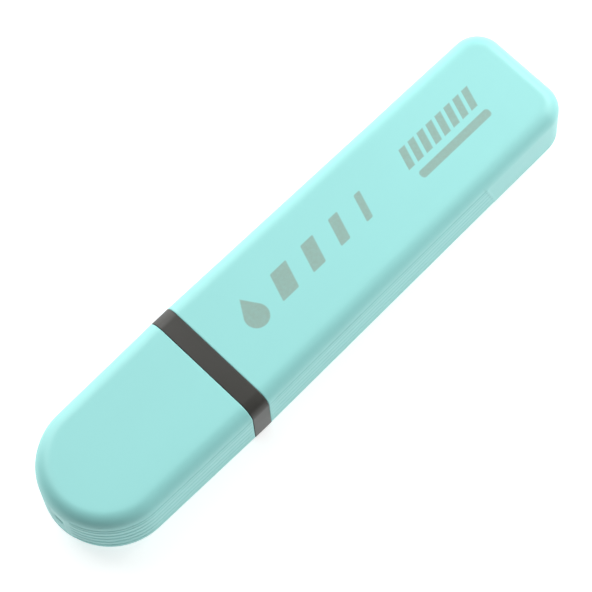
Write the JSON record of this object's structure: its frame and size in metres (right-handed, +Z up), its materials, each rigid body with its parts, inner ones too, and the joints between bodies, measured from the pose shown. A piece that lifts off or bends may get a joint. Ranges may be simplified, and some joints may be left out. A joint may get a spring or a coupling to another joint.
{
  "type": "capped highlighter",
  "caption": "Flat capped highlighter with ribbed sides, a dark collar and tip holder, a chisel nib and a pull-off cap with a sealing inner cap.",
  "frame": {"origin": "middle of the bounding box at the height of the surface that the pen lies on", "axes": "+X along the pen from the cap's round end to the closed rear end, +Y across the pen, +Z up through its thickness"},
  "size_m": [0.12, 0.0262, 0.0148],
  "materials": {
    "body_plastic": "fine matte, pastel turquoise",
    "cap_plastic": "fine matte, pastel turquoise",
    "collar_plastic": "satin, warm dark grey",
    "nib_fibre": "porous, soaked with turquoise ink",
    "reservoir_fibre": "fibre, soaked with turquoise ink",
    "reservoir_film": "thin clear film",
    "breather_plastic": "thin translucent tube",
    "seal_plastic": "satin, natural white"
  },
  "bodies": {
    "pen": {"barrel": "body_plastic", "tip_holder": "collar_plastic", "nib": "nib_fibre", "reservoir_core": "reservoir_fibre", "reservoir_film": "reservoir_film", "breather_tube": "breather_plastic"},
    "cap": {"cap_shell": "cap_plastic", "inner_cap": "seal_plastic"}
  },
  "joints": [
    {"name": "cap_pull", "type": "slide", "parent": "pen", "child": "cap", "axis": [-1, 0, 0], "range_m": [0, 0.045]}
  ]
}
